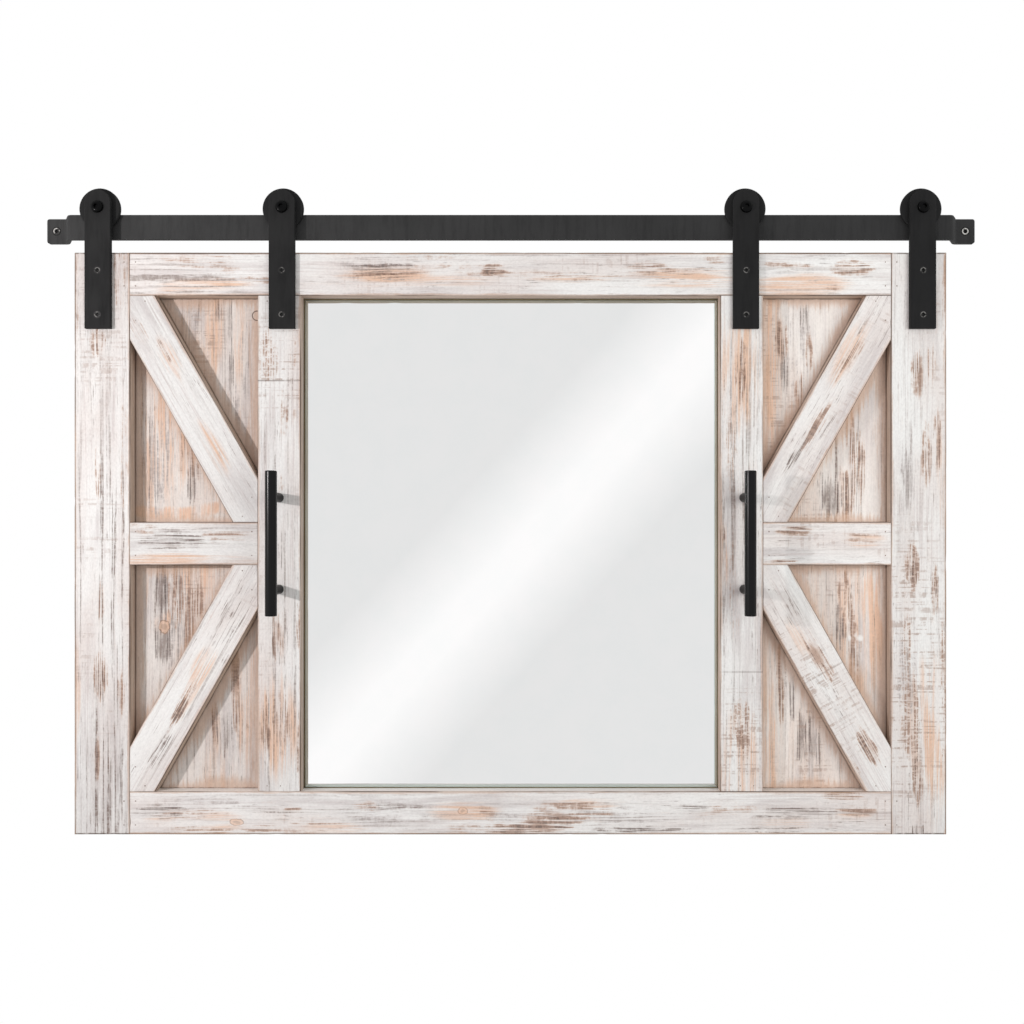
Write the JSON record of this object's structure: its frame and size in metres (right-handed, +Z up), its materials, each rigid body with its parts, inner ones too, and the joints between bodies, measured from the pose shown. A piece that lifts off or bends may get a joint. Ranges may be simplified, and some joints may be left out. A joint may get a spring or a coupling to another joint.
{
  "type": "wall mirror",
  "caption": "Farmhouse wall mirror in a whitewashed board frame with braced barn door panels, hung by roller straps from a flat black wall track.",
  "frame": {"origin": "on the wall, midway between the two wall holes", "axes": "+X to the right along the track, +Y into the wall, +Z up"},
  "size_m": [0.9904, 0.059, 0.6778],
  "materials": {
    "whitewashed_board": "distressed whitewash",
    "whitewashed_panel": "worn whitewash",
    "black_steel": "matte charcoal powder coat",
    "black_gloss": "satin black",
    "black_fastener": "black oxide",
    "zinc_steel": "zinc plated",
    "mirror": "silvered glass",
    "hardboard": "pressed brown board",
    "felt": "felt"
  },
  "bodies": {
    "track": {"track_bar": "black_steel"},
    "mirror_frame": {"axle_bolts": "black_fastener", "axle_nuts": "zinc_steel", "backing_clips": "zinc_steel", "bottom_back_strip": "whitewashed_panel", "bottom_rail": "whitewashed_board", "brad_nails": "zinc_steel", "clip_screws": "zinc_steel", "front_washers": "zinc_steel", "handle_screws": "zinc_steel", "hanger_screws": "black_fastener", "left_back_panel": "whitewashed_panel", "left_handle_bar": "black_gloss", "left_handle_posts": "black_gloss", "left_inner_hanger": "black_steel", "left_inner_stile": "whitewashed_board", "left_lower_brace": "whitewashed_board", "left_mid_rail": "whitewashed_board", "left_outer_hanger": "black_steel", "left_outer_stile": "whitewashed_board", "left_upper_brace": "whitewashed_board", "mirror_backing": "hardboard", "mirror_glass": "mirror", "rear_washers": "zinc_steel", "right_back_panel": "whitewashed_panel", "right_handle_bar": "black_gloss", "right_handle_posts": "black_gloss", "right_inner_hanger": "black_steel", "right_inner_stile": "whitewashed_board", "right_lower_brace": "whitewashed_board", "right_mid_rail": "whitewashed_board", "right_outer_hanger": "black_steel", "right_outer_stile": "whitewashed_board", "right_upper_brace": "whitewashed_board", "top_back_strip": "whitewashed_panel", "top_rail": "whitewashed_board", "wall_bumpers": "felt"},
    "left_outer_roller": {"left_outer_roller": "black_steel"},
    "left_inner_roller": {"left_inner_roller": "black_steel"},
    "right_inner_roller": {"right_inner_roller": "black_steel"},
    "right_outer_roller": {"right_outer_roller": "black_steel"}
  },
  "joints": [
    {"name": "frame_slide", "type": "slide", "parent": "track", "child": "mirror_frame", "axis": [1, 0, 0], "range_m": [-0.02, 0.02]},
    {"name": "left_outer_roll", "type": "hinge", "parent": "mirror_frame", "child": "left_outer_roller", "pos_m": [-0.431, -0.0175, 0.01795], "axis": [0, 1, 0], "range_deg": [-239, 239]},
    {"name": "left_inner_roll", "type": "hinge", "parent": "mirror_frame", "child": "left_inner_roller", "pos_m": [-0.2387, -0.0175, 0.01795], "axis": [0, 1, 0], "range_deg": [-239, 239]},
    {"name": "right_inner_roll", "type": "hinge", "parent": "mirror_frame", "child": "right_inner_roller", "pos_m": [0.2463, -0.0175, 0.01795], "axis": [0, 1, 0], "range_deg": [-239, 239]},
    {"name": "right_outer_roll", "type": "hinge", "parent": "mirror_frame", "child": "right_outer_roller", "pos_m": [0.431, -0.0175, 0.01795], "axis": [0, 1, 0], "range_deg": [-239, 239]}
  ],
  "couplings": [
    {"joint": "left_outer_roll", "follows": "frame_slide", "rad_per_m": 208.33},
    {"joint": "left_inner_roll", "follows": "frame_slide", "rad_per_m": 208.33},
    {"joint": "right_inner_roll", "follows": "frame_slide", "rad_per_m": 208.33},
    {"joint": "right_outer_roll", "follows": "frame_slide", "rad_per_m": 208.33}
  ]
}
